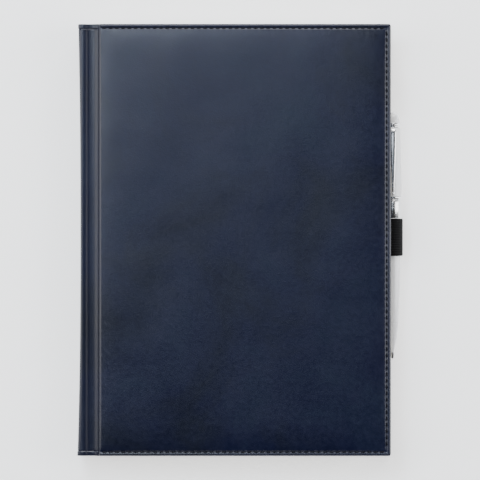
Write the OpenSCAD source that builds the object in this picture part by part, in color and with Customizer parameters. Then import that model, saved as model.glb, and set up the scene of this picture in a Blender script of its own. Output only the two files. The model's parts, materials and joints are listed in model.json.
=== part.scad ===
// Hard-bound logbook with a padded leather cover and a twist pen in an elastic loop.
// The closed book lies on its back cover: X runs from the spine to the fore edge,
// Y towards the head and Z up. The origin is the centre of the back cover's outer face.
// Both covers are the same panel, built face down and mirrored for the front.

/* [Cover] */
// Width of the closed cover, spine to fore edge
cover_w = 173; // [150:1:220]
// Height of the cover, tail to head
cover_h = 240; // [200:1:300]
// Thickness of the cover leather
leather_t = 0.8; // [0.6:0.1:1.2]
// Thickness of the foam padding
foam_t = 1; // [0.5:0.1:2]
// Thickness of the cover board
board_t = 2; // [1.5:0.1:3]
// Width of the hinge groove beside the spine
groove_w = 7.3; // [6:0.1:10]
// Distance of the stitch line from the cover's edge
stitch_inset = 2.4; // [2:0.1:4]

/* [Pages] */
// Thickness of one sewn section of leaves
section_t = 1.56; // [1:0.02:2.5]
// Distance from one section to the next
section_pitch = 1.6; // [1.1:0.02:2.6]
// How far the cover stands proud of the pages at head and tail
square_y = 3.5; // [2:0.1:6]
// How far the cover stands proud of the pages at the fore edge
square_x = 5; // [4:0.1:8]

/* [Pen] */
// Distance of the pen's axis beyond the cover's fore edge
pen_out = 1.5; // [1:0.1:3]
// Height of the pen's axis above the cover's inner face
pen_rise = 5.9; // [5.8:0.1:7]
// Length of the elastic loop along the pen
loop_len = 20.9; // [10:0.1:30]
// Place of the loop's middle along the cover
loop_y = 1.55; // [-20:0.05:20]
// Outer radius of the elastic loop
loop_r = 5.85; // [5.7:0.05:6.5]
// Thickness of the elastic
elastic_t = 0.9; // [0.6:0.1:1.2]

/* [Hidden] */
$fn = 48;
eps = 0.01;

half_sections = 5;
turn_in_t = 0.4;
turn_in_w = 15;
lining_t = 0.2;
lining_margin = 4;
cover_t = leather_t + foam_t + board_t + turn_in_t + lining_t;
gap = 0.1;
flyleaf_t = 0.15;
flyleaf_pitch = 0.18;

spine_x = -cover_w / 2;
fore_x = cover_w / 2;
half_h = cover_h / 2;
strip_t = 1.4;
hollow_t = 0.3;
hollow_gap = 0.6;
block_x = spine_x + leather_t + strip_t + hollow_t + hollow_gap;
board_x = block_x + groove_w;
block_w = fore_x - square_x - block_x;
block_h = cover_h - 2 * square_y;

block_z = cover_t + gap;
section_z = block_z + flyleaf_pitch;
block_top = section_z + 2 * half_sections * section_pitch + flyleaf_t;
total_t = block_top + gap + cover_t;

// Both hinge lines of the spine run along Y, this far from the cover's outer faces.
hinge_z = 3.2;
spine_z0 = hinge_z + gap;
spine_z1 = total_t - hinge_z - gap;
shoulder_r = 2.2;
joint_t = 0.8;
joint_z = hinge_z + gap;

corner_r = 1.2;
foam_inset = 5;
thread_w = 0.6;
thread_t = 0.3;
seam_w = 1;
seam_depth = 0.4;
band_r = 0.75;
band_inset = 1;
loop_tab_t = 1.1;

pen_x = fore_x + pen_out;
pen_z = cover_t + pen_rise;
loop_tab_x = fore_x - turn_in_w;
// Places along the pen's axis, tail to head
point_y = -66.3;
nose_tip_y = -62.6;
nose_y = -46.4;
barrel_top_y = 12.3;
cap_y = 24.1;
cap_top_y = 62.9;
ring_top_y = 65.3;
pen_top_y = 71.4;
band_y = 22;
nose_r = 3.5;
band_ring_r = 4.75;
bore_r = 2.6;
refill_r = 1.25;
refill_bore_r = 1.45;
tip_r = 0.45;
refill_y = -53;
refill_neck_r = 0.7;
tip_bore_r = 0.55;
cap_bore_r = 3.3;
spigot_r = 3.1;
spigot_bore_r = refill_bore_r + 0.3;
spigot_top_y = cap_y + 6;
clip_w = 3.4;
clip_end_w = 1.5;
clip_gap = 0.25;

LOWER = ["section_01", "section_02", "section_03", "section_04", "section_05"];
UPPER = ["section_06", "section_07", "section_08", "section_09", "section_10"];

// ---- helpers ----

// A plate of the cover panel, set in from its edges by inset, with round corners.
module plate(inset, z0, z1, r = corner_r) {
    w = fore_x - board_x - 2 * inset;
    h = cover_h - 2 * inset;
    translate([board_x + inset, -h / 2, z0]) linear_extrude(height = z1 - z0) {
        translate([r, 0]) square([w - 2 * r, h]);
        translate([0, r]) square([w, h - 2 * r]);
        for (x = [r, w - r], y = [r, h - r]) translate([x, y]) circle(r);
    }
}

// The seam channel's path, open towards the spine: head, fore edge and tail.
module seam_path(w, z0, z1) {
    x0 = board_x - eps;
    x1 = fore_x - stitch_inset + w / 2;
    y1 = half_h - stitch_inset + w / 2;
    difference() {
        translate([x0, -y1, z0]) cube([x1 - x0, 2 * y1, z1 - z0]);
        translate([x0 - 1, -y1 + w, z0 - 1])
            cube([x1 - x0 + 1 - w, 2 * (y1 - w), z1 - z0 + 2]);
    }
}

// Turns a part of the back cover into the same part of the front cover.
module as_front() {
    translate([0, 0, total_t]) mirror([0, 0, 1]) children();
}

// Puts a part made along Z onto the pen's axis, head end up.
module on_pen() {
    translate([pen_x, 0, pen_z]) rotate([-90, 0, 0]) children();
}

// A turned pen part: outer profile as [radius, place] pairs, drilled along its axis.
module turned(profile, bore = 0) {
    first = profile[0][1];
    last = profile[len(profile) - 1][1];
    on_pen() difference() {
        rotate_extrude($fn = 96) polygon(concat([[0, first]], profile, [[0, last]]));
        if (bore > 0) translate([0, 0, first - 1]) cylinder(r = bore, h = last - first + 2);
    }
}

// ---- cover panels, built as the back cover ----

module cover_leather() {
    inner_z = cover_t - lining_t;
    difference() {
        plate(0, 0, inner_z);
        plate(leather_t, leather_t + foam_t, inner_z - turn_in_t, corner_r / 2);
        plate(foam_inset, leather_t, leather_t + foam_t + eps);
        plate(turn_in_w, inner_z - turn_in_t - eps, inner_z + 1);
        seam_path(seam_w, -1, seam_depth);
    }
}

module cover_foam() {
    plate(foam_inset, leather_t, leather_t + foam_t);
}

module cover_board() {
    plate(leather_t, leather_t + foam_t, leather_t + foam_t + board_t, corner_r / 2);
}

module cover_infill() {
    plate(turn_in_w, cover_t - lining_t - turn_in_t, cover_t - lining_t);
}

module cover_lining() {
    plate(lining_margin, cover_t - lining_t, cover_t);
}

module cover_stitching() {
    seam_path(thread_w, seam_depth - thread_t, seam_depth);
}

module joint_leather() {
    translate([block_x, -half_h, joint_z]) cube([groove_w, cover_h, joint_t]);
}

// ---- back cover ----

module loop_slot() {
    translate([loop_tab_x, loop_y - loop_len / 2, cover_t - lining_t - turn_in_t])
        cube([turn_in_w + 1, loop_len, turn_in_t + 1]);
}

module back_leather() {
    color("#1b2536") difference() {
        cover_leather();
        loop_slot();
    }
}

module back_foam() { color("#d8d4c8") cover_foam(); }

module back_board() { color("#8f8672") cover_board(); }

module back_infill() { color("#b9b2a2") cover_infill(); }

module back_lining() { color("#d9d6cd") cover_lining(); }

module back_stitching() { color("#0d1119") cover_stitching(); }

module back_joint_leather() { color("#141c2a") joint_leather(); }

// The loop is one band: a ring round the pen, and a tab let in under the turned leather.
module pen_loop() {
    y0 = loop_y - loop_len / 2;
    turn_z = cover_t - lining_t - turn_in_t;
    lining_x = fore_x - lining_margin;
    color("#101013") {
        difference() {
            translate([pen_x, y0, pen_z]) rotate([-90, 0, 0]) cylinder(r = loop_r, h = loop_len);
            translate([pen_x, y0 - 1, pen_z]) rotate([-90, 0, 0])
                cylinder(r = loop_r - elastic_t, h = loop_len + 2);
        }
        difference() {
            translate([lining_x + gap, y0, cover_t]) cube([pen_x - lining_x - gap, loop_len, loop_tab_t]);
            translate([pen_x, y0 - 1, pen_z]) rotate([-90, 0, 0])
                cylinder(r = loop_r - elastic_t / 2, h = loop_len + 2);
        }
        translate([loop_tab_x, y0, turn_z]) cube([turn_in_w, loop_len, turn_in_t]);
        translate([lining_x + gap, y0, turn_z])
            cube([lining_margin - gap, loop_len, cover_t - turn_z + eps]);
    }
}

// ---- pages ----

module leaf(z, t) {
    translate([block_x, -block_h / 2, z]) cube([block_w, block_h, t]);
}

module section(i) {
    color(i % 2 == 0 ? "#efece2" : "#e6e2d6") leaf(section_z + i * section_pitch, section_t);
}

module rear_flyleaf() { color("#f2efe6") leaf(block_z, flyleaf_t); }

module front_flyleaf() { color("#f2efe6") leaf(block_top - flyleaf_t, flyleaf_t); }

// ---- spine ----

// A slab along the whole spine, between two X places, with its outer edges rounded.
module spine_slab(x0, x1, z0, z1, r) {
    translate([0, half_h, 0]) rotate([90, 0, 0]) linear_extrude(height = cover_h) {
        translate([x0, z0 + r]) square([x1 - x0, z1 - z0 - 2 * r]);
        if (r > 0) intersection() {
            translate([x0 + r, z0 + r]) circle(r);
            translate([x0, z0]) square([x1 - x0, r + eps]);
        }
        if (r > 0) intersection() {
            translate([x0 + r, z1 - r]) circle(r);
            translate([x0, z1 - r - eps]) square([x1 - x0, r + eps]);
        }
    }
}

module spine_leather() {
    inner = spine_x + leather_t;
    color("#1b2536") difference() {
        spine_slab(spine_x, inner + strip_t, spine_z0, spine_z1, shoulder_r);
        translate([inner, -half_h - 1, spine_z0 + leather_t])
            cube([strip_t + 1, cover_h + 2, spine_z1 - spine_z0 - 2 * leather_t]);
    }
}

module spine_strip() {
    color("#8f8672") translate([spine_x + leather_t, -half_h, spine_z0 + leather_t])
        cube([strip_t, cover_h, spine_z1 - spine_z0 - 2 * leather_t]);
}

module spine_hollow_lining() {
    color("#cfc8b4") translate([spine_x + leather_t + strip_t, -block_h / 2, block_z + band_inset])
        cube([hollow_t, block_h, block_top - block_z - 2 * band_inset]);
}

// A woven band's roll, standing just past the pages at one end of the spine.
module end_band(side) {
    y = side * (block_h / 2 + band_r + gap);
    color("#c9c3b0") translate([block_x - hollow_gap + band_r, y, block_z + band_inset])
        cylinder(r = band_r, h = block_top - block_z - 2 * band_inset);
}

module head_band() { end_band(1); }

module tail_band() { end_band(-1); }

// ---- front cover ----

module front_leather() { color("#232d3f") as_front() cover_leather(); }

module front_foam() { color("#d8d4c8") as_front() cover_foam(); }

module front_board() { color("#8f8672") as_front() cover_board(); }

module front_infill() { color("#b9b2a2") as_front() cover_infill(); }

module front_lining() { color("#d9d6cd") as_front() cover_lining(); }

module front_stitching() { color("#0d1119") as_front() cover_stitching(); }

module front_joint_leather() { color("#141c2a") as_front() joint_leather(); }

// ---- pen ----

module pen_barrel() {
    color("#f1f1ef") turned([[nose_r, nose_y], [3.9, -38], [4.2, -30], [4.45, -20], [4.6, -8],
        [4.65, 4], [4.65, barrel_top_y]], bore_r);
}

module pen_nose() {
    color("#e9e9e7") difference() {
        turned([[1, nose_tip_y], [1.45, -60.5], [2.4, -56], [3.05, -51], [nose_r, nose_y]],
            refill_neck_r + gap);
        on_pen() translate([0, 0, nose_tip_y + 6]) cylinder(r = refill_bore_r, h = nose_y - nose_tip_y);
    }
}

module pen_point() {
    color("#9a9a9c") turned([[0.7, point_y], [0.85, -65], [0.95, nose_tip_y]], tip_bore_r);
}

// The chrome band between the two halves, with the spigot that the cap turns on.
module pen_centre_band() {
    color("#c8c9cc") union() {
        turned([[4.7, barrel_top_y], [band_ring_r, 13], [band_ring_r, band_y - 0.15]], spigot_bore_r);
        turned([[spigot_r, band_y - 0.2], [spigot_r, spigot_top_y]], spigot_bore_r);
    }
}

module pen_cap_ring() {
    color("#c8c9cc") turned([[4.9, band_y], [5.1, band_y + 0.5], [5.15, cap_y]], cap_bore_r);
}

module pen_cap() {
    slot_w = clip_w + 2 * clip_gap;
    color("#f4f4f2") difference() {
        turned([[5.15, cap_y], [5.25, 28], [5.2, 36], [5, 42], [4.85, 50], [4.55, 58],
            [4.35, cap_top_y]], cap_bore_r);
        translate([pen_x - slot_w / 2, cap_top_y - 1.6, pen_z + 3.5]) cube([slot_w, 3, 3]);
    }
}

module pen_finial_ring() {
    color("#c8c9cc") turned([[4.35, cap_top_y], [4.45, 63.4], [4.4, 64.2], [4.3, ring_top_y]], cap_bore_r);
}

module pen_finial() {
    dome_r = 4.25;
    rise = pen_top_y - ring_top_y;
    color("#f4f4f2") turned(concat([[dome_r, ring_top_y]],
        [for (a = [15:15:75]) [dome_r * cos(a), ring_top_y + rise * sin(a)]], [[0.01, pen_top_y]]));
}

// Holds the refill and drives it down as the cap turns.
module pen_twist_sleeve() {
    color("#b58a3c") turned([[spigot_r, spigot_top_y + 1], [spigot_r, 50]], refill_bore_r);
}

// A leaf of sprung steel that tapers to a ball end, sprung from the slot under the ring.
module pen_clip() {
    top_y = cap_top_y - clip_gap;
    end_y = 25.5;
    ball_r = 0.57;
    root_z = 3.75;
    leaf_z = 6.05;
    color("#d4d5d8") translate([pen_x, 0, pen_z]) {
        intersection() {
            translate([-clip_w, 0, 0]) rotate([90, 0, 90]) linear_extrude(height = 2 * clip_w) polygon([
                [top_y, root_z], [top_y, leaf_z + 0.5], [top_y - 1.5, leaf_z + 1.1],
                [45, leaf_z + 1.25], [end_y, leaf_z + 0.85], [end_y, leaf_z + 0.25],
                [45, leaf_z + 0.5], [top_y - 2, leaf_z + 0.2], [top_y - 1.2, leaf_z - 0.6],
                [top_y - 1.2, root_z]]);
            linear_extrude(height = 20) polygon([[-clip_w / 2, top_y + 1], [clip_w / 2, top_y + 1],
                [clip_end_w / 2, end_y - 1], [-clip_end_w / 2, end_y - 1]]);
        }
        translate([0, end_y + 0.2, leaf_z + 0.3]) sphere(r = ball_r);
    }
}

module pen_refill_tube() {
    color("#b9bcc2") turned([[refill_r, refill_y], [refill_r, 48]]);
}

module pen_refill_tip() {
    color("#d8b257") turned([[0.3, point_y + 0.4], [tip_r, point_y + 1.2], [tip_r, nose_tip_y + 4.8],
        [refill_neck_r, nose_tip_y + 5.2], [refill_neck_r, refill_y]]);
}

// ---- one line per node ----

back_leather();
back_foam();
back_board();
back_infill();
back_lining();
back_stitching();
back_joint_leather();
pen_loop();
rear_flyleaf();
for (i = [0:half_sections - 1]) {
    section(i);
    section(half_sections + i);
}
front_flyleaf();
spine_leather();
spine_strip();
spine_hollow_lining();
head_band();
tail_band();
front_leather();
front_foam();
front_board();
front_infill();
front_lining();
front_stitching();
front_joint_leather();
pen_barrel();
pen_nose();
pen_point();
pen_centre_band();
pen_cap_ring();
pen_cap();
pen_finial_ring();
pen_finial();
pen_twist_sleeve();
pen_clip();
pen_refill_tube();
pen_refill_tip();
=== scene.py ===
"""Looks of a padded leather logbook with a twist pen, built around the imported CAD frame.

Shapes are worked out in millimetres and scaled to metres by MM.
"""

import json
import math
import random

import bmesh
import bpy
import numpy as np
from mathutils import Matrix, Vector


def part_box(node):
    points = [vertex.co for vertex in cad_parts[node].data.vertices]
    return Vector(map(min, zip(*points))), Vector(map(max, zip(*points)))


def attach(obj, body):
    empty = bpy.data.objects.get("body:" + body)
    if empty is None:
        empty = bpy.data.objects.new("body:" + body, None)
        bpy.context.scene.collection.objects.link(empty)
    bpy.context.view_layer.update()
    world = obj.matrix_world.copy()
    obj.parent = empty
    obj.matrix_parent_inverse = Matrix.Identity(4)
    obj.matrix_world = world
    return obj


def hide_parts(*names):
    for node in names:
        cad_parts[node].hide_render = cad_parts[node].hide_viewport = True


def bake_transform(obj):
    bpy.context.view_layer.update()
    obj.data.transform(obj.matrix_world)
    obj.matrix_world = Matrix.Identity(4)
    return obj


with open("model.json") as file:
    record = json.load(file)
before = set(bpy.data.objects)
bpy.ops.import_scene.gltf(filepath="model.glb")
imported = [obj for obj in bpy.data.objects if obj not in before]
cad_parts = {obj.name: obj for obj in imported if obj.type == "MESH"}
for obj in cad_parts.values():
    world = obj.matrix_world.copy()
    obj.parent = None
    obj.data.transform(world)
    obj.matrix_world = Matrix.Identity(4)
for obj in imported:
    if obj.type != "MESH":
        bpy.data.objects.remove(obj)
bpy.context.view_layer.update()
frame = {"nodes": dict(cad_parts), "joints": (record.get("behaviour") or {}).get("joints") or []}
NODES = frame["nodes"]
MM = 0.001


def low(node):
    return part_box(node)[0]


def high(node):
    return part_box(node)[1]


# ---- places and sizes from the frame, in millimetres ----

BOARD_X = low("front_leather")[0] / MM
FORE_X = high("front_leather")[0] / MM
HALF_H = high("front_leather")[1] / MM
TOTAL_T = high("front_leather")[2] / MM
SPINE_X = low("spine_leather")[0] / MM
BLOCK_X = low("section_01")[0] / MM
BLOCK_FORE = high("section_01")[0] / MM
BLOCK_HALF = high("section_01")[1] / MM
COVER_T = high("back_lining")[2] / MM
HINGES = {j["name"]: j for j in frame["joints"]}
HINGE_X = HINGES["front_cover_hinge"]["pos_m"][0] / MM
HINGE_TOP = HINGES["front_cover_hinge"]["pos_m"][2] / MM
PEN_X = HINGES["pen_twist"]["pos_m"][0] / MM
PEN_Z = HINGES["pen_twist"]["pos_m"][2] / MM
PANEL_W = FORE_X - BOARD_X

# ---- sizes chosen here, in millimetres ----

# From the cover's edge to its seam, the stitches, and the length over which a hinge bends.
SEAM = 2.4
STITCH_PITCH = 3.5
STITCH_LEN = 2.95
BEND = 2.0

# ---- mesh helpers ----


def add_mesh(name, verts, faces, smooth=True):
    """A mesh object from millimetre vertices."""
    mesh = bpy.data.meshes.new(name)
    mesh.from_pydata((np.asarray(verts, float) * MM).tolist(), [], faces)
    mesh.validate()
    mesh.shade_smooth() if smooth else mesh.shade_flat()
    obj = bpy.data.objects.new(name, mesh)
    bpy.context.scene.collection.objects.link(obj)
    return obj


def loft(name, loops, caps=True, closed=False, smooth=True, flip=False):
    """Skins closed loops of equal point counts.

    caps close the first and last loop, and closed joins the last to the first.
    """
    loops = [np.asarray(p, float) for p in loops]
    n, count = len(loops[0]), len(loops)
    verts = np.vstack(loops)
    faces = []
    for i in range(count if closed else count - 1):
        a, b = i * n, ((i + 1) % count) * n
        for k in range(n):
            m = (k + 1) % n
            quad = (a + k, a + m, b + m, b + k)
            faces.append(quad[::-1] if flip else quad)
    if caps and not closed:
        first, last = tuple(range(n)), tuple(range((count - 1) * n, count * n))
        faces.append(first if flip else first[::-1])
        faces.append(last[::-1] if flip else last)
    return add_mesh(name, verts, faces, smooth)


def outward(obj):
    """Turns every face outwards."""
    bm = bmesh.new()
    bm.from_mesh(obj.data)
    bmesh.ops.recalc_face_normals(bm, faces=bm.faces)
    bm.to_mesh(obj.data)
    bm.free()
    return obj


def by_angle(obj, degrees=35):
    """Smooth shading with creases sharper than the angle kept."""
    obj.data.set_sharp_from_angle(angle=math.radians(degrees))
    return obj


def merge(name, parts):
    """One object from several (verts, faces) pieces."""
    verts, faces, base = [], [], 0
    for v, f in parts:
        verts.append(np.asarray(v, float))
        faces += [tuple(i + base for i in face) for face in f]
        base += len(v)
    return add_mesh(name, np.vstack(verts), faces)


def tube_part(rings):
    """Verts and faces of a closed tube through rings of points."""
    n, count = len(rings[0]), len(rings)
    faces = []
    for i in range(count - 1):
        for k in range(n):
            m = (k + 1) % n
            faces.append((i * n + k, i * n + m, (i + 1) * n + m, (i + 1) * n + k))
    faces.append(tuple(range(n))[::-1])
    faces.append(tuple(range((count - 1) * n, count * n)))
    return np.vstack(rings), faces


# ---- material helpers ----


class Shader:
    """A small builder for one Principled material."""

    def __init__(self, name, **sockets):
        self.mat = bpy.data.materials.new(name)
        self.mat.use_nodes = True
        self.tree = self.mat.node_tree
        self.bsdf = self.tree.nodes["Principled BSDF"]
        places = self.node("ShaderNodeTexCoord").outputs
        self.coords = places["Object"]
        self.normal = places["Normal"]
        for key, value in sockets.items():
            self.bsdf.inputs[key.replace("_", " ")].default_value = value

    def node(self, kind, **props):
        made = self.tree.nodes.new(kind)
        for key, value in props.items():
            setattr(made, key, value)
        return made

    def link(self, a, b):
        self.tree.links.new(a, b)

    def scaled(self, x, y, z):
        m = self.node("ShaderNodeMapping")
        m.inputs["Scale"].default_value = (x, y, z)
        self.link(self.coords, m.inputs["Vector"])
        return m.outputs["Vector"]

    def noise(self, scale, detail=3, roughness=0.55, vector=None, distortion=0.0):
        n = self.node("ShaderNodeTexNoise")
        n.inputs["Scale"].default_value = scale
        n.inputs["Detail"].default_value = detail
        n.inputs["Roughness"].default_value = roughness
        n.inputs["Distortion"].default_value = distortion
        self.link(vector or self.coords, n.inputs["Vector"])
        return n.outputs["Fac"]

    def cells(self, scale, feature="F1", vector=None):
        v = self.node("ShaderNodeTexVoronoi", feature=feature)
        v.inputs["Scale"].default_value = scale
        self.link(vector or self.coords, v.inputs["Vector"])
        return v.outputs["Distance"]

    def math(self, op, a, b=0.5, c=None):
        m = self.node("ShaderNodeMath", operation=op)
        for i, value in enumerate((a, b) if c is None else (a, b, c)):
            if isinstance(value, (int, float)):
                m.inputs[i].default_value = value
            else:
                self.link(value, m.inputs[i])
        return m.outputs[0]

    def ramp(self, fac, *stops):
        r = self.node("ShaderNodeValToRGB")
        while len(r.color_ramp.elements) < len(stops):
            r.color_ramp.elements.new(0.5)
        for element, (place, colour) in zip(r.color_ramp.elements, stops):
            element.position = place
            element.color = (*colour, 1)
        self.link(fac, r.inputs["Fac"])
        return r.outputs["Color"]

    def range(self, fac, a, b, lo, hi):
        m = self.node("ShaderNodeMapRange")
        for i, value in enumerate((a, b, lo, hi), 1):
            m.inputs[i].default_value = value
        self.link(fac, m.inputs[0])
        return m.outputs[0]

    def mix(self, fac, a, b, blend="MIX"):
        m = self.node("ShaderNodeMix", data_type="RGBA", blend_type=blend)
        for socket, value in ((m.inputs[0], fac), (m.inputs[6], a), (m.inputs[7], b)):
            if isinstance(value, (int, float)):
                socket.default_value = value
            elif isinstance(value, tuple):
                socket.default_value = (*value, 1)
            else:
                self.link(value, socket)
        return m.outputs[2]

    def colour(self, out):
        self.link(out, self.bsdf.inputs["Base Color"])

    def rough(self, out):
        self.link(out, self.bsdf.inputs["Roughness"])

    def bump(self, *layers):
        """Chained bumps, each (height, distance in mm, strength)."""
        normal = None
        for height, distance, strength in layers:
            b = self.node("ShaderNodeBump")
            b.inputs["Distance"].default_value = distance * MM
            b.inputs["Strength"].default_value = strength
            self.link(height, b.inputs["Height"])
            if normal is not None:
                self.link(normal, b.inputs["Normal"])
            normal = b.outputs["Normal"]
        self.link(normal, self.bsdf.inputs["Normal"])
        return self.mat


# ---- materials ----


def leather_material():
    """Smooth navy leather: cloudy tone in three scales, a fine pebble grain, a satin surface."""
    s = Shader("navy_leather", Specular_IOR_Level=0.43, Coat_Weight=0.08, Coat_Roughness=0.25)
    cloud = s.noise(14, 4, 0.62, distortion=0.6)
    patch = s.noise(38, 5, 0.6, distortion=0.3)
    fleck = s.noise(420, 3, 0.6)
    base = s.ramp(cloud, (0.3, (0.0006, 0.0021, 0.0092)), (0.52, (0.0020, 0.0036, 0.0186)),
                  (0.72, (0.0019, 0.0057, 0.0194)))
    tint = s.ramp(patch, (0.35, (0.78, 0.80, 0.92)), (0.55, (1.0, 1.0, 1.0)), (0.75, (1.22, 1.16, 1.05)))
    base = s.mix(1.0, base, tint, "MULTIPLY")
    grainy = s.ramp(fleck, (0.3, (0.82, 0.83, 0.86)), (0.7, (1.14, 1.13, 1.1)))
    s.colour(s.mix(1.0, base, grainy, "MULTIPLY"))
    s.rough(s.math("ADD", s.range(patch, 0.3, 0.7, 0.32, 0.38), s.range(fleck, 0.3, 0.7, -0.03, 0.04)))
    pebble = s.cells(1500, "SMOOTH_F1")
    crease = s.noise(900, 4, 0.65)
    wave = s.noise(55, 3, 0.5)
    return s.bump((wave, 0.35, 0.35), (pebble, 0.055, 0.5), (crease, 0.05, 0.4))


def lining_material():
    """Pale endpaper with fine fibres."""
    s = Shader("endpaper", Roughness=0.85, Specular_IOR_Level=0.25)
    fibre = s.noise(900, 5, 0.7, s.scaled(1, 0.35, 1))
    s.colour(s.ramp(fibre, (0.3, (0.68, 0.66, 0.60)), (0.7, (0.78, 0.76, 0.70))))
    return s.bump((fibre, 0.03, 0.5))


def stripes(s, axis, pitch, width, offset=0.0):
    """1 on thin lines at a pitch along one axis, in mm."""
    split = s.node("ShaderNodeSeparateXYZ")
    s.link(s.coords, split.inputs[0])
    place = s.math("MULTIPLY_ADD", split.outputs[axis], 1 / (pitch * MM), offset)
    away = s.math("ABSOLUTE", s.math("SUBTRACT", s.math("FRACT", place), 0.5))
    return s.math("LESS_THAN", away, width / pitch / 2)


def within(s, axis, lo, hi):
    """1 between two places along one axis, in mm."""
    split = s.node("ShaderNodeSeparateXYZ")
    s.link(s.coords, split.inputs[0])
    above = s.math("GREATER_THAN", split.outputs[axis], lo * MM)
    below = s.math("LESS_THAN", split.outputs[axis], hi * MM)
    return s.math("MULTIPLY", above, below)


# The log's ruling in millimetres: pitch and width of each set of lines.
ROWS = (7.0, 0.32)
COLUMNS = (17.6, 0.4)
WIDE_COLUMNS = (52.8, 0.7)
HEADING_ROWS = (14.0, 0.4)
# Margins of the ruled area, and the depth from the head at which the heading ends.
RULED_BACK, RULED_FORE, RULED_TAIL, RULED_HEAD = 18, 9, 12, 14
HEADING_END = 30


def page_material():
    """Uncoated paper with a blank ruled log on the faces of the leaves: rows, columns, heading."""
    s = Shader("ruled_page", Roughness=0.9, Specular_IOR_Level=0.2)
    fibre = s.noise(1100, 5, 0.7)
    tone = s.noise(60, 2, 0.5)
    paper = s.ramp(fibre, (0.3, (0.72, 0.69, 0.62)), (0.7, (0.82, 0.79, 0.72)))
    paper = s.mix(s.range(tone, 0.35, 0.65, 0.0, 0.25), paper, (0.76, 0.72, 0.63))
    split = s.node("ShaderNodeSeparateXYZ")
    s.link(s.normal, split.inputs[0])
    facing = s.math("GREATER_THAN", s.math("ABSOLUTE", split.outputs[2]), 0.9)
    tail, head = -BLOCK_HALF + RULED_TAIL, BLOCK_HALF - RULED_HEAD
    across = within(s, 0, BLOCK_X + RULED_BACK, BLOCK_FORE - RULED_FORE)
    area = s.math("MULTIPLY", across, within(s, 1, tail, head))
    below_heading = within(s, 1, tail, BLOCK_HALF - HEADING_END)
    rows = s.math("MULTIPLY", stripes(s, 1, *ROWS), below_heading)
    columns = s.math("MAXIMUM", stripes(s, 0, *COLUMNS), stripes(s, 0, *WIDE_COLUMNS))
    in_heading = within(s, 1, BLOCK_HALF - HEADING_END - 2, head)
    heading = s.math("MULTIPLY", stripes(s, 1, *HEADING_ROWS, 0.25), in_heading)
    lines = s.math("MAXIMUM", s.math("MAXIMUM", rows, columns), heading)
    lines = s.math("MULTIPLY", s.math("MULTIPLY", lines, area), facing)
    s.colour(s.mix(s.math("MULTIPLY", lines, 0.9), paper, (0.09, 0.15, 0.24)))
    return s.bump((fibre, 0.03, 0.5))


def thread_material(name, dark, light, scale=2600):
    """Twisted thread: fine slanted plies."""
    s = Shader(name, Roughness=0.7, Specular_IOR_Level=0.15)
    wave = s.node("ShaderNodeTexWave", wave_type="BANDS", bands_direction="DIAGONAL")
    wave.inputs["Scale"].default_value = scale / 6
    s.link(s.coords, wave.inputs["Vector"])
    s.colour(s.ramp(wave.outputs["Fac"], (0.2, dark), (0.8, light)))
    return s.bump((wave.outputs["Fac"], 0.08, 0.6))


def elastic_material():
    """Black ribbed elastic: ribs along the band, made uneven by a fine noise."""
    s = Shader("woven_elastic", Roughness=0.82, Sheen_Weight=0.03, Specular_IOR_Level=0.15)
    ribs = s.node("ShaderNodeTexWave", wave_type="BANDS", bands_direction="Y")
    ribs.inputs["Scale"].default_value = 230
    s.link(s.coords, ribs.inputs["Vector"])
    knit = s.noise(2400, 2, 0.5)
    mixed = s.math("MULTIPLY", ribs.outputs["Fac"], s.range(knit, 0.3, 0.7, 0.6, 1.0))
    s.colour(s.ramp(mixed, (0.1, (0.0012, 0.0012, 0.0014)), (0.9, (0.006, 0.006, 0.0065))))
    return s.bump((mixed, 0.12, 0.7))


def lacquer_material():
    """Pearly white gloss lacquer on the pen's body."""
    s = Shader("white_lacquer", Specular_IOR_Level=0.5, Coat_Weight=0.6, Coat_Roughness=0.05, Metallic=0.0)
    pearl = s.noise(260, 3, 0.5)
    s.colour(s.ramp(pearl, (0.3, (0.84, 0.845, 0.86)), (0.7, (0.89, 0.89, 0.90))))
    s.rough(s.range(pearl, 0.3, 0.7, 0.18, 0.26))
    return s.bump((pearl, 0.01, 0.3))


def metal_material(name, dark, light, rough, brush=0.02):
    """Polished or turned metal with fine rings round the pen's axis."""
    s = Shader(name, Metallic=1.0)
    rings = s.noise(1800, 2, 0.6, s.scaled(0.02, 1, 0.02))
    smear = s.noise(130, 3, 0.55)
    s.colour(s.ramp(smear, (0.3, dark), (0.7, light)))
    worn = s.range(smear, 0.3, 0.7, rough * 0.8, rough * 1.3)
    s.rough(s.math("ADD", worn, s.math("MULTIPLY", rings, 0.03)))
    return s.bump((rings, brush, 0.4))


def board_material():
    """Grey binder's board with pulp flecks."""
    s = Shader("binders_board", Roughness=0.92, Specular_IOR_Level=0.2)
    pulp = s.noise(700, 5, 0.7)
    s.colour(s.ramp(pulp, (0.3, (0.20, 0.18, 0.14)), (0.7, (0.34, 0.31, 0.25))))
    return s.bump((pulp, 0.1, 0.6))


def foam_material():
    """Open-cell foam."""
    s = Shader("foam", Roughness=0.95, Specular_IOR_Level=0.2)
    pores = s.cells(1600)
    s.colour(s.ramp(pores, (0.0, (0.45, 0.43, 0.38)), (0.6, (0.66, 0.64, 0.58))))
    return s.bump((pores, 0.25, 0.7))


def refill_material():
    """Grey refill plastic with a slow change of tone."""
    s = Shader("refill_plastic", Roughness=0.3, Specular_IOR_Level=0.5)
    ink = s.noise(90, 2, 0.5)
    s.colour(s.ramp(ink, (0.3, (0.35, 0.38, 0.44)), (0.7, (0.5, 0.52, 0.56))))
    return s.bump((ink, 0.02, 0.3))


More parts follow.
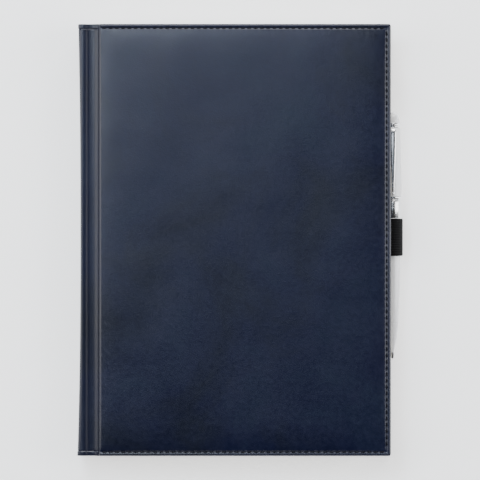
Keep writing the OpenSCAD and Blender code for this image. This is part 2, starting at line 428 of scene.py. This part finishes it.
LEATHER = leather_material()
ENDPAPER = lining_material()
PAGE = page_material()
STITCH = thread_material("stitch_thread", (0.0008, 0.0012, 0.003), (0.003, 0.004, 0.009))
BAND = thread_material("end_band_weave", (0.10, 0.13, 0.22), (0.66, 0.63, 0.55), 5200)
ELASTIC = elastic_material()
LACQUER = lacquer_material()
CHROME = metal_material("polished_chrome", (0.72, 0.73, 0.75), (0.86, 0.86, 0.88), 0.2)
STEEL = metal_material("turned_steel", (0.30, 0.30, 0.31), (0.46, 0.46, 0.47), 0.28, 0.04)
BRASS = metal_material("turned_brass", (0.42, 0.29, 0.10), (0.60, 0.43, 0.18), 0.25, 0.04)
BOARD = board_material()
FOAM = foam_material()
REFILL = refill_material()


def finish_piece(obj, material, body=None, nodes=()):
    """Gives a piece its material and its body, and hides the CAD nodes that it stands for."""
    obj.data.materials.clear()
    obj.data.materials.append(material)
    if body:
        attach(obj, body)
    if nodes:
        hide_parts(*nodes)
    return obj


# ---- padded covers ----


# How far each pad is crowned, and the seed of its undulation.
FRONT_PAD = (1.7, 5)
BACK_PAD = (0.55, 9)
# How fast the pad rises from the fore edge, the head and tail, and the hinge: steep part, gradual part.
RISE_FORE = (4.5, 11)
RISE_END = (4.5, 16)
RISE_HINGE = (4.0, 15)
# How much of the pad's height the slow undulation may take, and how many waves make it.
UNDULATION = 0.14
WAVES = 14
# The welt along the edge: height, distance from the edge, half width.
WELT = (0.16, 1.25, 0.75)
# The seam's channel: depth, how much deeper it is at a needle hole, half width.
CHANNEL = (0.20, 0.06, 0.6)
# The pucker beside each needle hole: depth, and how far it reaches.
PUCKER = (0.05, 1.9)
# Radius of the roll along the cover's hinge side.
ROLL_R = 2.2
# Points along the panel's long and short sides.
LONG_N, SHORT_N = 372, 250
# Radius of the panel's outer edge, and the width of the leather turned in over the board.
EDGE_R = 1.15
TURN_IN = 15.0


def smooth_step(t):
    t = np.clip(t, 0, 1)
    return t * t * (3 - 2 * t)


def seam_phase(x, y):
    """Place along the seam in stitch pitches, 0 in the middle of a stitch."""
    along_edge = HALF_H - np.abs(y) < FORE_X - x
    s = np.where(along_edge, x - BOARD_X, y + HALF_H)
    return s / STITCH_PITCH


def pad_noise(x, y, seed):
    """Slow undulation of the padded surface, from a few seeded waves, -1 to 1."""
    rng = random.Random(seed)
    total = np.zeros_like(x)
    for _ in range(WAVES):
        length = rng.uniform(22, 75)
        angle = rng.uniform(0, math.pi)
        phase = rng.uniform(0, 2 * math.pi)
        total += np.sin((x * math.cos(angle) + y * math.sin(angle)) * 2 * math.pi / length + phase)
    return total / WAVES


def pad_rise(away, near, far):
    """The pad's rise away from an edge: 0 at the edge, 1 inside, part steep and part gradual."""
    away = np.clip(away, 0, None)
    return 1 - 0.5 * np.exp(-away / near) - 0.5 * np.exp(-away / far)


def cover_relief(x, y, crown, seed):
    """How far the cover's outer face stands out (+) or in (-) from the CAD face."""
    left = x - BOARD_X
    right = FORE_X - x
    end = HALF_H - np.abs(y)
    hem = np.minimum(right, end)
    inside = np.clip(hem - SEAM, 0, None)
    phase = seam_phase(x, y)
    hole = 0.5 - 0.5 * np.cos(2 * np.pi * phase)
    welt = WELT[0] * np.exp(-((hem - WELT[1]) / WELT[2]) ** 2)
    groove = -(CHANNEL[0] + CHANNEL[1] * hole) * np.exp(-((hem - SEAM) / CHANNEL[2]) ** 2)
    pucker = -PUCKER[0] * hole * np.exp(-inside / PUCKER[1]) * (hem > SEAM)
    pad = pad_rise(right - SEAM, *RISE_FORE) * pad_rise(end - SEAM, *RISE_END) * pad_rise(left, *RISE_HINGE)
    pad = pad * (1 - UNDULATION + UNDULATION * pad_noise(x, y, seed))
    roll = -ROLL_R * (1 - np.sqrt(1 - np.clip(1 - left / ROLL_R, 0, 1) ** 2))
    return crown * pad - crown_base(crown) + welt + groove + pucker + roll


def crown_base(crown):
    """How far the hem lies below the CAD face under a pad of this crown."""
    return 0.15 + crown * 0.25


def panel_ring(inset, long_n, short_n, corner=1.3):
    """Points round the cover panel, set in by inset, starting at the tail's spine corner."""
    w = PANEL_W / 2 - inset
    h = HALF_H - inset
    cx = (BOARD_X + FORE_X) / 2
    t_short = np.linspace(-1, 1, short_n, endpoint=False)
    t_long = np.linspace(-1, 1, long_n, endpoint=False)
    x = np.concatenate([w * t_short, np.full(long_n, w), -w * t_short, np.full(long_n, -w)])
    y = np.concatenate([np.full(short_n, -h), h * t_long, np.full(short_n, h), -h * t_long])
    r = max(0.0, corner - inset)
    ox, oy = np.abs(x) - (w - r), np.abs(y) - (h - r)
    inside = (ox > 0) & (oy > 0) & (r > 0)
    away = np.hypot(ox, oy)
    scale = np.where(inside & (away > 0), r / np.where(away > 0, away, 1), 1)
    x = np.where(inside, np.sign(x) * (w - r + ox * scale), x)
    y = np.where(inside, np.sign(y) * (h - r + oy * scale), y)
    return x + cx, y


def cover_panel(name, front):
    """The padded leather panel: welted edge, stitched channel, crowned pad, turned-in inner face."""
    crown, seed = FRONT_PAD if front else BACK_PAD
    rings = []
    inner = COVER_T - 0.2
    for inset in (PANEL_W / 2 - 0.01, 60, 30, TURN_IN + 0.3, TURN_IN, 8, 2):
        rings.append(("in", inset, inner - (0.12 if inset > TURN_IN else 0)))
    for a in (0, 30, 60, 90):
        turn = math.radians(a)
        rings.append(("in", EDGE_R * 0.5 * (1 - math.sin(turn)), inner - 0.5 * (1 - math.cos(turn))))
    for a in (0, 18, 36, 54, 72, 90):
        turn = math.radians(a)
        rings.append(("out", EDGE_R * (1 - math.cos(turn)), EDGE_R * (1 - math.sin(turn))))
    steps = list(np.arange(1.4, 4.6, 0.2)) + list(np.arange(4.8, 9, 0.6))
    steps += [9.6, 11, 12.6, 14.5, 17, 20, 24, 29, 35, 42, 50, 60, 70, PANEL_W / 2 - 0.01]
    rings += [("out", d, 0.0) for d in steps]
    loops = []
    for kind, inset, z in rings:
        x, y = panel_ring(inset, LONG_N, SHORT_N)
        if kind == "out":
            z = z - cover_relief(x, y, crown, seed)
        else:
            z = np.full_like(x, z)
        if front:
            z = TOTAL_T - z
        else:
            z = np.maximum(z, 0.0)
        loops.append(np.column_stack([x, y, z]))
    obj = loft(name, loops, caps=True)
    outward(obj)
    return obj


# A stitch: half its width and thickness, how deep its ends sink, and the corner left without one.
THREAD_HALF_W, THREAD_HALF_T = 0.56, 0.38
THREAD_SINK = 0.42
CORNER_CLEAR = 1.2


def stitches(name, front):
    """Separate thread stitches in the channel along the head, fore edge and tail."""
    crown, seed = FRONT_PAD if front else BACK_PAD
    parts = []
    rng = random.Random(21 if front else 22)
    seam_y = HALF_H - SEAM
    seam_x = FORE_X - SEAM
    runs = [((BOARD_X, -seam_y), (1, 0), PANEL_W - SEAM),
            ((BOARD_X, seam_y), (1, 0), PANEL_W - SEAM),
            ((seam_x, -HALF_H), (0, 1), 2 * HALF_H)]
    for start, direction, length in runs:
        count = int(length / STITCH_PITCH)
        for i in range(1, count + 1):
            s = i * STITCH_PITCH
            vertical = direction[1] == 1
            if vertical and (s < SEAM + CORNER_CLEAR or s > 2 * HALF_H - SEAM - CORNER_CLEAR):
                continue
            if not vertical and s > PANEL_W - SEAM - CORNER_CLEAR:
                continue
            cx, cy = start[0] + direction[0] * s, start[1] + direction[1] * s
            slant = math.radians(rng.uniform(3, 8)) * (1 if front else -1)
            ux = direction[0] * math.cos(slant) - direction[1] * math.sin(slant)
            uy = direction[0] * math.sin(slant) + direction[1] * math.cos(slant)
            size = rng.uniform(0.94, 1.05)
            rings = []
            for t in np.linspace(-1, 1, 9):
                bulge = math.sqrt(max(0.0, 1 - abs(t) ** 3.2)) * 0.95 + 0.05
                px, py = cx + ux * t * STITCH_LEN * size / 2, cy + uy * t * STITCH_LEN * size / 2
                sink = THREAD_SINK * abs(t) ** 4
                base = -0.2 - sink - crown_base(crown)
                ring = []
                for a in np.linspace(0, 2 * math.pi, 8, endpoint=False):
                    side = THREAD_HALF_W * bulge * math.cos(a)
                    up = THREAD_HALF_T * bulge * math.sin(a)
                    z = base + up
                    ring.append((px - uy * side, py + ux * side, TOTAL_T + z if front else max(0.0, -z)))
                rings.append(ring)
            parts.append(tube_part([np.array(r) for r in rings]))
    return outward(merge(name, parts))


for side, front in (("front", True), ("back", False)):
    body = side + "_cover"
    panel = cover_panel(side + "_cover_leather", front)
    finish_piece(panel, LEATHER, body, [side + "_leather"])
    sewn = stitches(side + "_cover_stitches", front)
    finish_piece(sewn, STITCH, body, [side + "_stitching"])

# ---- spine and hinge grooves ----


SPINE_LEATHER_T = 0.85
GROOVE_LEATHER_T = 0.42
LEATHER_TOP = HINGE_TOP + 0.22
# How much of the hem's relief the spine and hinge leather take.
HEM_RISE = 0.8
# Where the fold starts round the shoulder, in degrees, and how far it runs past the hinge line.
FOLD_ANGLE = 120
FOLD_REACH = 0.15


def end_hem(y):
    """Relief of the turned hem at the head and tail of the spine: a raised band and its seam line."""
    end = HALF_H - abs(y)
    band = 0.22 * float(smooth_step((3.1 - end) / 0.5))
    line = -0.42 * math.exp(-((end - 2.75) / 0.28) ** 2)
    rounding = -0.5 * (1 - math.sqrt(1 - max(0.0, 1 - end / 0.7) ** 2))
    return band + line + rounding


def spine_flare(y):
    """The spine draws in at its middle and flares at its ends."""
    share = abs(y) / HALF_H
    return 0.45 - (1.15 if y > 0 else 1.6) * share ** 2.4


def y_stations():
    """Places along the book, close together at the hems."""
    end = np.concatenate([np.arange(0, 4.2, 0.2), np.arange(4.6, 12, 1.2)])
    middle = np.linspace(-HALF_H + 13, HALF_H - 13, 60)
    return np.concatenate([-HALF_H + end, middle, (HALF_H - end)[::-1]])


def shoulder(y, angles):
    """Outer and inner points of the spine leather round its front shoulder."""
    hem = end_hem(y)
    r = HINGE_X - SPINE_X
    turn = np.radians(angles)
    away = np.column_stack([np.cos(turn), np.sin(turn)])
    face = np.array([HINGE_X, LEATHER_TOP - r]) + away * r
    squeeze = smooth_step((HINGE_X - face[:, 0]) / r)
    flare = np.column_stack([spine_flare(y) * squeeze, np.zeros(len(face))])
    return face + away * hem * HEM_RISE + flare, face - away * SPINE_LEATHER_T


def on_section(points, y, front=True):
    """Section points (x, z) as places at this height along the book, mirrored for the back."""
    z = points[:, 1] if front else TOTAL_T - points[:, 1]
    return np.column_stack([points[:, 0], np.full(len(points), y), z])


def spine_loop(y):
    """The spine leather's section, from one fold to the other round both shoulders."""
    outer, inner = shoulder(y, np.linspace(FOLD_ANGLE, 180, 12))
    upper_out, upper_in = on_section(outer, y), on_section(inner, y)
    lower_out, lower_in = on_section(outer, y, False), on_section(inner, y, False)
    return np.vstack([upper_out, lower_out[::-1], lower_in, upper_in[::-1]])


def fold_loop(y, front):
    """The narrow fold that joins the spine leather to the hinge leather."""
    outer, inner = shoulder(y, np.linspace(FOLD_ANGLE, 90, 8))
    reach = np.array([FOLD_REACH, 0.0])
    outer = np.vstack([outer, outer[-1] + reach])
    inner = np.vstack([inner, inner[-1] + reach])
    return on_section(np.vstack([outer, inner[::-1]]), y, front)


# The hinge leather's outer face: distance from the spine's back, and height against LEATHER_TOP.
GROOVE_MARKS = np.array([
    (HINGE_X - SPINE_X + FOLD_REACH, 0.0), (2.8, -0.05), (3.6, -0.25), (4.5, -0.6), (5.4, -0.8), (7.0, -0.85),
    (8.0, -0.75), (8.8, -0.52), (9.6, -0.2), (10.3, 0.05), (11.2, 0.2)])


def groove_loop(y, front):
    """The hinge leather's section, from the fold over the groove's floor to the cover."""
    x = SPINE_X + np.linspace(GROOVE_MARKS[0, 0], GROOVE_MARKS[-1, 0], 34)
    z = LEATHER_TOP + np.interp(x - SPINE_X, GROOVE_MARKS[:, 0], GROOVE_MARKS[:, 1])
    for _ in range(2):
        z[1:-1] = (z[:-2] + 2 * z[1:-1] + z[2:]) / 4
    ramp = smooth_step((SPINE_X + 11.0 - x) / 2)
    thick = np.interp(x - SPINE_X, (2.1, 3.8), (SPINE_LEATHER_T, GROOVE_LEATHER_T))
    outer = np.column_stack([x, z + end_hem(y) * HEM_RISE * ramp])
    inner = np.column_stack([x, z - thick])
    return on_section(np.vstack([outer, inner[::-1]]), y, front)


STATIONS = y_stations()
spine = outward(loft("spine_cover_leather", [spine_loop(y) for y in STATIONS]))
by_angle(spine, 60)
finish_piece(spine, LEATHER, "spine", ["spine_leather"])

for side, front, carrier in (("front", True, "upper_carrier"), ("back", False, "lower_carrier")):
    fold = outward(loft(side + "_fold_leather", [fold_loop(y, front) for y in STATIONS]))
    by_angle(fold, 60)
    finish_piece(fold, LEATHER)
    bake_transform(fold)
    groove = outward(loft(side + "_hinge_leather", [groove_loop(y, front) for y in STATIONS]))
    by_angle(groove, 60)
    finish_piece(groove, LEATHER, nodes=[side + "_joint_leather"])
    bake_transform(groove)

# ---- endpapers ----


def sheet_loop(y, xs, zs, thick):
    over = np.column_stack([xs, zs + thick / 2])
    under = np.column_stack([xs, zs - thick / 2])[::-1]
    loop = np.vstack([over, under])
    return np.column_stack([loop[:, 0], np.full(len(loop), y), loop[:, 1]])


def endpaper(side, front):
    """The pastedown and the strip that hinges it to the pages, as one flat sheet."""
    margin = 4.0
    xs = np.concatenate([np.linspace(HINGE_X + 0.15, HINGE_X + BEND + 1.5, 22),
                         np.linspace(BOARD_X - 2, BOARD_X + 6, 12),
                         np.linspace(BOARD_X + 10, FORE_X - margin, 30)])
    face = TOTAL_T - COVER_T if front else COVER_T
    into = 1 if front else -1
    zs = np.full_like(xs, face + into * 0.01)
    ys = np.linspace(-HALF_H + margin, HALF_H - margin, 40)
    sheet = outward(loft(side + "_endpaper", [sheet_loop(y, xs, zs, 0.1) for y in ys]))
    by_angle(sheet)
    finish_piece(sheet, ENDPAPER, nodes=[side + "_lining"])
    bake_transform(sheet)


endpaper("front", True)
endpaper("back", False)

# ---- pages ----


# Leaves in a section, the share of the pitch that a leaf fills, and the depth of the section's fold.
LEAVES = 16
LEAF_SHARE = 0.86
FOLD_DEPTH = 0.55


def leaf_part(rng, z0, z1, fold):
    """One leaf with its own small offset, its spine edge set in by fold."""
    fore = BLOCK_FORE + rng.uniform(-0.10, 0.06)
    half = BLOCK_HALF + rng.uniform(-0.07, 0.05)
    back = BLOCK_X + fold
    zs = (z0, z1)
    verts = [(x, y, z) for z in zs for x, y in ((back, -half), (fore, -half), (fore, half), (back, half))]
    faces = [(3, 2, 1, 0), (4, 5, 6, 7), (0, 1, 5, 4), (1, 2, 6, 5), (2, 3, 7, 6), (3, 0, 4, 7)]
    return np.array(verts), faces


def repaint(names, material):
    """Gives CAD nodes that stay in view a new material."""
    for node in names:
        NODES[node].data.materials.clear()
        NODES[node].data.materials.append(material)


def section_piece(number, body):
    """A sewn section: leaves nested into a fold that is rounded at the spine."""
    node = f"section_{number:02d}"
    z0, z1 = low(node)[2] / MM, high(node)[2] / MM
    rng = random.Random(100 + number)
    pitch = (z1 - z0) / LEAVES
    parts = []
    for i in range(LEAVES):
        across = 2 * abs((i + 0.5) / LEAVES - 0.5)
        fold = FOLD_DEPTH * (1 - math.sqrt(max(0.0, 1 - across ** 2)))
        parts.append(leaf_part(rng, z0 + i * pitch, z0 + (i + LEAF_SHARE) * pitch, fold))
    obj = merge(f"{node}_leaves", parts)
    obj.data.shade_flat()
    finish_piece(obj, PAGE, body, [node])


BODY_OF = {1: "lower_carrier", 10: "upper_carrier"}
for number in range(1, 11):
    section_piece(number, BODY_OF.get(number, f"section_{number:02d}"))

repaint(("front_flyleaf", "rear_flyleaf", "spine_hollow_lining"), ENDPAPER)

# ---- boards, foam, head and tail bands ----

repaint(("spine_strip", "front_board", "back_board", "front_infill", "back_infill"), BOARD)
repaint(("front_foam", "back_foam"), FOAM)

# Distance along an end band from one rib to the next.
RIB_PITCH = 0.7


def end_band(node):
    """A corded band: a roll wrapped in thread, with a rib at each turn."""
    lo, hi = low(node) / MM, high(node) / MM
    cx, cy = (lo[0] + hi[0]) / 2, (lo[1] + hi[1]) / 2
    radius = (hi[0] - lo[0]) / 2
    z0, z1 = lo[2], hi[2]
    loops = []
    for z in np.linspace(z0, z1, 180):
        end = min(z - z0, z1 - z)
        ribbed = 0.9 + 0.1 * abs(math.sin((z - z0) * math.pi / RIB_PITCH))
        r = radius * ribbed * (0.55 + 0.45 * min(1.0, end / 0.6) ** 0.5)
        a = np.linspace(0, 2 * math.pi, 20, endpoint=False)
        loops.append(np.column_stack([cx + r * np.cos(a), cy + r * np.sin(a), np.full(20, z)]))
    obj = outward(loft(node + "_wrapped", loops))
    finish_piece(obj, BAND, "spine", [node])


end_band("head_band")
end_band("tail_band")

# ---- pen ----


def smooth_profile(marks, steps=8):
    """A smooth curve through (radius, place) marks."""
    marks = np.array(marks, float)
    y, r = marks[:, 1], marks[:, 0]
    slope = np.gradient(r, y)
    out = []
    for i in range(len(y) - 1):
        h = y[i + 1] - y[i]
        for t in np.linspace(0, 1, steps, endpoint=False):
            h00, h10 = 2 * t ** 3 - 3 * t ** 2 + 1, t ** 3 - 2 * t ** 2 + t
            h01, h11 = -2 * t ** 3 + 3 * t ** 2, t ** 3 - t ** 2
            radius = h00 * r[i] + h10 * h * slope[i] + h01 * r[i + 1] + h11 * h * slope[i + 1]
            out.append((radius, y[i] + t * h))
    out.append((r[-1], y[-1]))
    return out


def softened(profile, edge=0.12):
    """Rounds the two end edges of a profile of (radius, place)."""
    (r0, y0), (r1, y1) = profile[0], profile[-1]
    up = 1 if y1 > y0 else -1
    start = [(max(r0 - edge, 0.01), y0), (r0 - edge * 0.3, y0 + up * edge * 0.3), (r0, y0 + up * edge)]
    finish = [(r1, y1 - up * edge), (r1 - edge * 0.3, y1 - up * edge * 0.3), (max(r1 - edge, 0.01), y1)]
    inner = [p for p in profile[1:-1] if abs(p[1] - y0) > edge and abs(p[1] - y1) > edge]
    return start + inner + finish


def lathe(name, profile, bore=0.0, around=56):
    """A turned piece on the pen's axis. A bore makes it a sleeve."""
    loops = []
    path = list(profile)
    if bore:
        path = path + [(bore, path[-1][1]), (bore, path[0][1])]
    for r, y in path:
        a = np.linspace(0, 2 * math.pi, around, endpoint=False)
        loops.append(np.column_stack([PEN_X + r * np.cos(a), np.full(around, y), PEN_Z + r * np.sin(a)]))
    obj = outward(loft(name, loops, caps=not bore, closed=bool(bore)))
    return by_angle(obj, 40)


def at(node):
    """A pen node's lowest and highest place along the pen."""
    return low(node)[1] / MM, high(node)[1] / MM


# Radii of the pen's bores, and of the softened edge on its lacquered pieces.
BARREL_BORE, NOSE_BORE, POINT_BORE, BAND_BORE, CAP_BORE = 2.6, 0.8, 0.55, 2.9, 3.3
BARREL_EDGE, CAP_EDGE = 0.08, 0.1

barrel_y0, barrel_y1 = at("pen_barrel")
nose_y0, nose_y1 = at("pen_nose")
cap_y0, cap_y1 = at("pen_cap")
finial_y0, finial_y1 = at("pen_finial")
point_y0, point_y1 = at("pen_point")
ring_y0, ring_y1 = at("pen_cap_ring")
band_y0 = at("pen_centre_band")[0]
collar_y0, collar_y1 = at("pen_finial_ring")

barrel_marks = [(3.5, barrel_y0), (3.9, -38), (4.2, -30), (4.45, -20), (4.6, -8), (4.65, 4),
                (4.65, barrel_y1)]
barrel = lathe("pen_barrel_lacquered", softened(smooth_profile(barrel_marks), BARREL_EDGE), BARREL_BORE)
finish_piece(barrel, LACQUER, "pen_barrel", ["pen_barrel"])

nose_marks = [(1.0, nose_y0), (1.5, -60.3), (2.4, -56), (3.05, -51), (3.5, nose_y1)]
nose = lathe("pen_nose_lacquered", softened(smooth_profile(nose_marks), BARREL_EDGE), NOSE_BORE)
finish_piece(nose, LACQUER, "pen_barrel", ["pen_nose"])

point_marks = [(0.6, point_y0), (0.72, -65.9), (0.85, -65), (0.9, -64), (1.02, -63.4), (0.95, point_y1)]
point = lathe("pen_point_turned", point_marks, POINT_BORE, around=32)
finish_piece(point, STEEL, "pen_barrel", ["pen_point"])

ribbed = [(4.62, band_y0), (4.72, band_y0 + 0.25)]
for k in range(3):
    base = ring_y0 - 1.6 - 2.4 * (2 - k) * 0.55
    ribbed += [(4.75, base), (4.6, base + 0.16), (4.6, base + 0.34), (4.75, base + 0.5)]
ribbed += [(4.75, ring_y0 - 0.4), (4.6, ring_y0 - 0.2)]
band = lathe("pen_centre_band_polished", ribbed, BAND_BORE)
finish_piece(band, CHROME, "pen_barrel", ["pen_centre_band"])

ring_marks = [(4.85, ring_y0), (5.0, ring_y0 + 0.2), (5.02, ring_y0 + 0.6), (4.9, ring_y0 + 0.75),
              (5.05, ring_y0 + 0.95), (5.2, ring_y0 + 1.3), (5.24, ring_y1 - 0.3), (5.12, ring_y1)]
ring = lathe("pen_cap_ring_polished", ring_marks, CAP_BORE)
finish_piece(ring, CHROME, "pen_cap", ["pen_cap_ring"])

cap_marks = [(5.15, cap_y0), (5.26, 28), (5.22, 36), (5.05, 43), (4.85, 50), (4.58, 58), (4.35, cap_y1)]
cap = lathe("pen_cap_lacquered", softened(smooth_profile(cap_marks), CAP_EDGE), CAP_BORE)
finish_piece(cap, LACQUER, "pen_cap", ["pen_cap"])

collar_marks = [(4.3, collar_y0), (4.46, collar_y0 + 0.25), (4.46, collar_y0 + 0.9), (4.3, collar_y0 + 1.1),
                (4.3, collar_y0 + 1.3), (4.46, collar_y0 + 1.5), (4.44, collar_y1 - 0.2), (4.28, collar_y1)]
collar = lathe("pen_finial_ring_polished", collar_marks, CAP_BORE)
finish_piece(collar, CHROME, "pen_cap", ["pen_finial_ring"])

rise = finial_y1 - finial_y0
dome = [(4.2, finial_y0)] + [(4.26 * math.cos(a) ** 0.8, finial_y0 + 0.2 + (rise - 0.2) * math.sin(a))
                             for a in np.linspace(0, math.radians(89), 20)]
finial = lathe("pen_finial_lacquered", dome)
finish_piece(finial, LACQUER, "pen_cap", ["pen_finial"])


def clip_piece():
    """A sprung clip: leaves the cap under the ring, rises, runs down the cap and ends in a ball."""
    top = cap_y1 - 0.25
    path = [(top - 0.7, 3.9, 3.3), (top - 0.6, 5.0, 3.3), (top - 0.9, 6.2, 3.3),
            (top - 2.4, 6.9, 3.35), (top - 6, 7.15, 3.35), (top - 14, 7.25, 3.0),
            (top - 23, 7.1, 2.5), (top - 30, 6.8, 2.0), (top - 34.5, 6.5, 1.65),
            (top - 36.8, 6.25, 1.35)]
    path = np.array(path)
    t = np.linspace(0, len(path) - 1, 90)
    k = np.arange(len(path))
    ys, zs, ws = (np.interp(t, k, path[:, i]) for i in range(3))
    for _ in range(10):
        for line in (ys, zs, ws):
            line[1:-1] = (line[:-2] + 2 * line[1:-1] + line[2:]) / 4
    dy, dz = np.gradient(ys), np.gradient(zs)
    size = np.hypot(dy, dz)
    ny, nz = dz / size, -dy / size
    loops = []
    for i in range(len(t)):
        half_w, half_t = ws[i] / 2, 0.33
        loop = []
        for a in np.linspace(0, 2 * math.pi, 28, endpoint=False):
            c, s = math.cos(a), math.sin(a)
            side = half_w * math.copysign(abs(c) ** 0.55, c)
            crest = 0.16 * (1 - (side / half_w) ** 2) if s > 0 else 0
            up = half_t * math.copysign(abs(s) ** 0.7, s) + crest
            loop.append((PEN_X + side, ys[i] + ny[i] * up, PEN_Z + zs[i] + nz[i] * up))
        loops.append(loop)
    blade = outward(loft("pen_clip_polished", loops))
    by_angle(blade, 50)
    rings = []
    for a in np.linspace(-89, 89, 17):
        r, y = 0.95 * math.cos(math.radians(a)), ys[-1] + 0.1 + 1.15 * math.sin(math.radians(a))
        b = np.linspace(0, 2 * math.pi, 24, endpoint=False)
        ball_z = PEN_Z + zs[-1] - 0.1 + 0.85 * r * np.sin(b)
        rings.append(np.column_stack([PEN_X + r * np.cos(b), np.full(24, y), ball_z]))
    ball = outward(loft("pen_clip_ball", rings))
    finish_piece(blade, CHROME, "pen_clip", ["pen_clip"])
    finish_piece(ball, CHROME, "pen_clip")


clip_piece()

repaint(("pen_twist_sleeve", "pen_refill_tip"), BRASS)
repaint(("pen_refill_tube",), REFILL)

# ---- elastic loop ----


# The elastic band: thickness, ribs across its width, and how far a rib stands out.
ELASTIC_T = 0.9
ELASTIC_RIBS = 15
RIB_RISE = 0.045
# Points of the path before the band turns up round the pen.
FLAT_POINTS = 7


def elastic_loop():
    """A knitted band with raised ribs and rolled edges, in from the cover's edge and round the pen."""
    lo, hi = low("pen_loop") / MM, high("pen_loop") / MM
    radius = hi[0] - PEN_X
    y0, y1 = lo[1], hi[1]
    inner = radius - ELASTIC_T
    flat_z = PEN_Z - radius + ELASTIC_T / 2
    path = [(FORE_X - 3.4, flat_z, 0.0, 1.0)]
    for x in np.linspace(FORE_X - 2.2, PEN_X - 0.4, FLAT_POINTS - 1):
        path.append((x, flat_z, 0.0, 1.0))
    mid = (radius + inner) / 2
    for a in np.linspace(-90, 262, 72):
        c, s = math.cos(math.radians(a)), math.sin(math.radians(a))
        path.append((PEN_X + mid * c, PEN_Z + mid * s, -c, -s))
    across = np.linspace(0, 1, ELASTIC_RIBS * 6 + 1)
    profile = RIB_RISE * np.cos(across * ELASTIC_RIBS * 2 * math.pi)
    edge = 0.42 * np.minimum(1, np.sqrt(np.clip(np.minimum(across, 1 - across) * (y1 - y0) / 0.5, 0, 1)))
    loops = []
    for i, (x, z, nx, nz) in enumerate(path):
        wobble = 0.12 * math.sin(i * 0.35) * (1 if i > FLAT_POINTS + 1 else 0)
        ys = y0 + across * (y1 - y0) + wobble * (across - 0.5)
        outer = np.column_stack([x - nx * (edge + profile), ys, z - nz * (edge + profile)])
        inside = np.column_stack([x + nx * edge, ys, z + nz * edge])[::-1]
        loops.append(np.vstack([outer, inside]))
    obj = outward(loft("pen_loop_elastic", loops))
    by_angle(obj, 60)
    finish_piece(obj, ELASTIC, "back_cover", ["pen_loop"])


elastic_loop()

# ---- floor, light and camera ----


def floor_material():
    """Plain pale floor that also glows white, which keeps the ground light under any view."""
    s = Shader("pale_floor", Roughness=0.9, Specular_IOR_Level=0.1,
               Emission_Color=(1, 1, 1, 1), Emission_Strength=1.0)
    tone = s.noise(3, 2, 0.5)
    s.colour(s.ramp(tone, (0.3, (0.95, 0.95, 0.95)), (0.7, (0.98, 0.98, 0.98))))
    return s.mat


FLOOR_HALF = 3000
FLOOR_Z = -0.2
FLOOR_CORNERS = [(-1, -1), (1, -1), (1, 1), (-1, 1)]
floor_verts = [(x * FLOOR_HALF, y * FLOOR_HALF, FLOOR_Z) for x, y in FLOOR_CORNERS]
floor = add_mesh("floor", floor_verts, [(0, 1, 2, 3)])
floor.data.materials.append(floor_material())

world = bpy.data.worlds.new("studio")
bpy.context.scene.world = world
world.use_nodes = True
world.node_tree.nodes["Background"].inputs["Color"].default_value = (1, 1, 1, 1)
world.node_tree.nodes["Background"].inputs["Strength"].default_value = 0.03


LIGHT_TARGET = Vector((0, 0, 0.02))
COOL = (0.78, 0.88, 1.0)


def softbox(name, place, size, energy, colour=(1, 1, 1)):
    """A rectangular area light aimed at LIGHT_TARGET."""
    light = bpy.data.lights.new(name, "AREA")
    light.shape = "RECTANGLE"
    light.size, light.size_y = size
    light.energy = energy
    light.color = colour
    obj = bpy.data.objects.new(name, light)
    obj.location = place
    obj.rotation_euler = (LIGHT_TARGET - Vector(place)).to_track_quat("-Z", "Y").to_euler()
    bpy.context.scene.collection.objects.link(obj)


softbox("key", (-0.38, 0.60, 1.25), (0.5, 0.4), 10.8, COOL)
softbox("overhead", (-0.05, 0.30, 2.0), (0.6, 0.4), 1.68, COOL)
softbox("side_strip", (-0.62, 0.30, 1.25), (0.2, 0.6), 3, COOL)
softbox("left_wall", (-2.2, 0.3, 1.0), (1.2, 2.6), 45)
softbox("right_wall", (2.4, 0.3, 1.2), (1.2, 2.6), 57)
softbox("near_wall", (0.0, -2.8, 0.9), (2.8, 1.0), 48)
softbox("far_wall", (0.0, 2.3, 1.2), (2.6, 1.2), 84)

# Width of the view at the cover's face, distance to it, place aimed at, and the sensor in millimetres.
VIEW_WIDTH = 266.2 * MM
DISTANCE = 1.7
AIM_X = 2.72 * MM
SENSOR = 36

camera_data = bpy.data.cameras.new("camera")
camera = bpy.data.objects.new("camera", camera_data)
bpy.context.scene.collection.objects.link(camera)
camera_data.sensor_width = SENSOR
camera_data.lens = SENSOR * DISTANCE / VIEW_WIDTH
camera_data.clip_start = 0.05
camera.location = (AIM_X, 0, TOTAL_T * MM + DISTANCE)
camera.rotation_euler = (0, 0, 0)
bpy.context.scene.camera = camera
